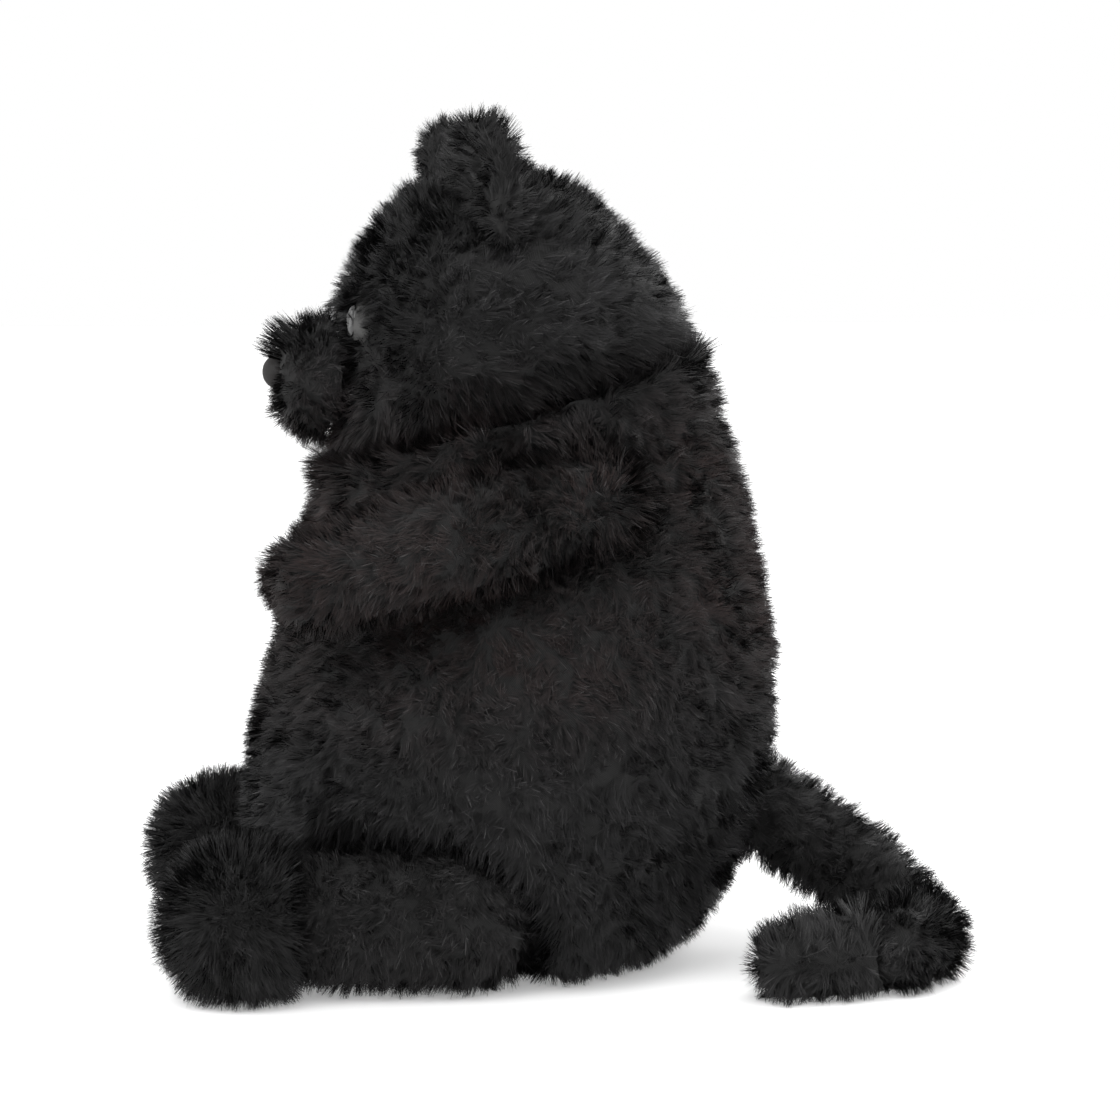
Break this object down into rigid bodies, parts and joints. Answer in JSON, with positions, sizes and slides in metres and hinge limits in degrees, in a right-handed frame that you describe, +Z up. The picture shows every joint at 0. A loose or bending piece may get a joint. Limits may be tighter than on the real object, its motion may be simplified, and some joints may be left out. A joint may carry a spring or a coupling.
{
  "type": "plush cat",
  "caption": "Sitting black plush cat with a pear-shaped body, upright ears, a round muzzle, stubby arms and legs, and a tail curled round to its left side.",
  "frame": {"origin": "middle of the flat seat, on the surface that the cat sits on", "axes": "+Z up, -Y the way the cat faces, +X its left side"},
  "size_m": [0.2144, 0.2659, 0.2863],
  "materials": {
    "fur_body": "long pile, satin",
    "fur_limbs": "long pile, satin",
    "fur_tail": "long pile, satin",
    "fur_ears": "long pile, satin",
    "fur_lining": "knitted backing, matt",
    "stuffing": "loose polyester fibre",
    "bag_cloth": "plain weave, matt",
    "thread": "twisted thread",
    "pellets": "smooth, matt",
    "eye_plastic": "satin",
    "pupil_plastic": "polished",
    "nose_plastic": "flocked",
    "washer_plastic": "moulded"
  },
  "bodies": {
    "torso": {"torso_side_left": "fur_body", "torso_side_right": "fur_body", "belly_panel": "fur_body", "seat_panel": "fur_body", "torso_stuffing": "stuffing", "closing_thread": "thread", "pellet_bag_top": "bag_cloth", "pellet_bag_bottom": "bag_cloth", "pellets": "pellets"},
    "neck": {"neck_wad": "stuffing"},
    "head": {"face_panel": "fur_body", "head_side_left": "fur_body", "head_side_right": "fur_body", "neck_lining": "fur_lining", "head_stuffing": "stuffing", "muzzle_cover": "fur_body", "muzzle_stuffing": "stuffing", "nose": "nose_plastic", "nose_washer": "washer_plastic", "eye_left": "eye_plastic", "eye_right": "eye_plastic", "pupil_left": "pupil_plastic", "pupil_right": "pupil_plastic", "eye_washer_left": "washer_plastic", "eye_washer_right": "washer_plastic"},
    "ear_left": {"ear_front_left": "fur_ears", "ear_back_left": "fur_ears"},
    "ear_right": {"ear_front_right": "fur_ears", "ear_back_right": "fur_ears"},
    "arm_left": {"arm_upper_panel_left": "fur_limbs", "arm_lower_panel_left": "fur_limbs", "arm_stuffing_left": "stuffing"},
    "arm_right": {"arm_upper_panel_right": "fur_limbs", "arm_lower_panel_right": "fur_limbs", "arm_stuffing_right": "stuffing"},
    "leg_left": {"leg_upper_panel_left": "fur_limbs", "leg_lower_panel_left": "fur_limbs", "leg_stuffing_left": "stuffing"},
    "leg_right": {"leg_upper_panel_right": "fur_limbs", "leg_lower_panel_right": "fur_limbs", "leg_stuffing_right": "stuffing"},
    "foot_left": {"foot_cover_left": "fur_limbs", "foot_sole_left": "fur_limbs", "foot_stuffing_left": "stuffing"},
    "foot_right": {"foot_cover_right": "fur_limbs", "foot_sole_right": "fur_limbs", "foot_stuffing_right": "stuffing"},
    "tail_root": {"tail_root_top": "fur_tail", "tail_root_bottom": "fur_tail", "tail_root_stuffing": "stuffing"},
    "tail_bend": {"tail_bend_top": "fur_tail", "tail_bend_bottom": "fur_tail", "tail_bend_stuffing": "stuffing"},
    "tail_end": {"tail_end_top": "fur_tail", "tail_end_bottom": "fur_tail", "tail_end_stuffing": "stuffing"}
  },
  "joints": [
    {"name": "head_turn", "type": "hinge", "parent": "torso", "child": "neck", "pos_m": [0, 0.00405, 0.24005], "axis": [0, -0.309, 0.9511], "range_deg": [-25, 25]},
    {"name": "head_nod", "type": "hinge", "parent": "neck", "child": "head", "pos_m": [0, 0.00405, 0.24005], "axis": [1, 0, 0], "range_deg": [-8, 4]},
    {"name": "ear_left_flex", "type": "hinge", "parent": "head", "child": "ear_left", "pos_m": [0.04775, 0.0065, 0.2533], "axis": [0.8236, 0.309, -0.4755], "range_deg": [-11, 11], "stiffness_Nm_per_rad": 0.02},
    {"name": "arm_left_swing", "type": "hinge", "parent": "torso", "child": "arm_left", "pos_m": [0.074, 0.038, 0.163], "axis": [0.9703, 0, 0.2419], "range_deg": [-26, 8]},
    {"name": "leg_left_splay", "type": "hinge", "parent": "torso", "child": "leg_left", "pos_m": [0.06, -0.002, 0.0295], "axis": [0, 0, 1], "range_deg": [-3, 7]},
    {"name": "foot_left_turn", "type": "hinge", "parent": "leg_left", "child": "foot_left", "pos_m": [0.0635, -0.048, 0.0255], "axis": [0, 0, 1], "range_deg": [-3, 20]},
    {"name": "ear_right_flex", "type": "hinge", "parent": "head", "child": "ear_right", "pos_m": [-0.04775, 0.0065, 0.2533], "axis": [0.8236, -0.309, 0.4755], "range_deg": [-11, 11], "stiffness_Nm_per_rad": 0.02},
    {"name": "arm_right_swing", "type": "hinge", "parent": "torso", "child": "arm_right", "pos_m": [-0.074, 0.038, 0.163], "axis": [0.9703, 0, -0.2419], "range_deg": [-35, 0]},
    {"name": "leg_right_splay", "type": "hinge", "parent": "torso", "child": "leg_right", "pos_m": [-0.06, -0.002, 0.0295], "axis": [0, 0, -1], "range_deg": [-3, 7]},
    {"name": "foot_right_turn", "type": "hinge", "parent": "leg_right", "child": "foot_right", "pos_m": [-0.0635, -0.048, 0.0255], "axis": [0, 0, -1], "range_deg": [-3, 20]},
    {"name": "tail_swing", "type": "hinge", "parent": "torso", "child": "tail_root", "pos_m": [0, 0.106, 0.05], "axis": [0, 0, 1], "range_deg": [-12, 30]},
    {"name": "tail_bend", "type": "hinge", "parent": "tail_root", "child": "tail_bend", "pos_m": [0.041, 0.148, 0.017], "axis": [0, 0, 1], "range_deg": [-15, 20]},
    {"name": "tail_curl", "type": "hinge", "parent": "tail_bend", "child": "tail_end", "pos_m": [0.081, 0.137, 0.01395], "axis": [0, 0, 1], "range_deg": [-6, 20]}
  ]
}
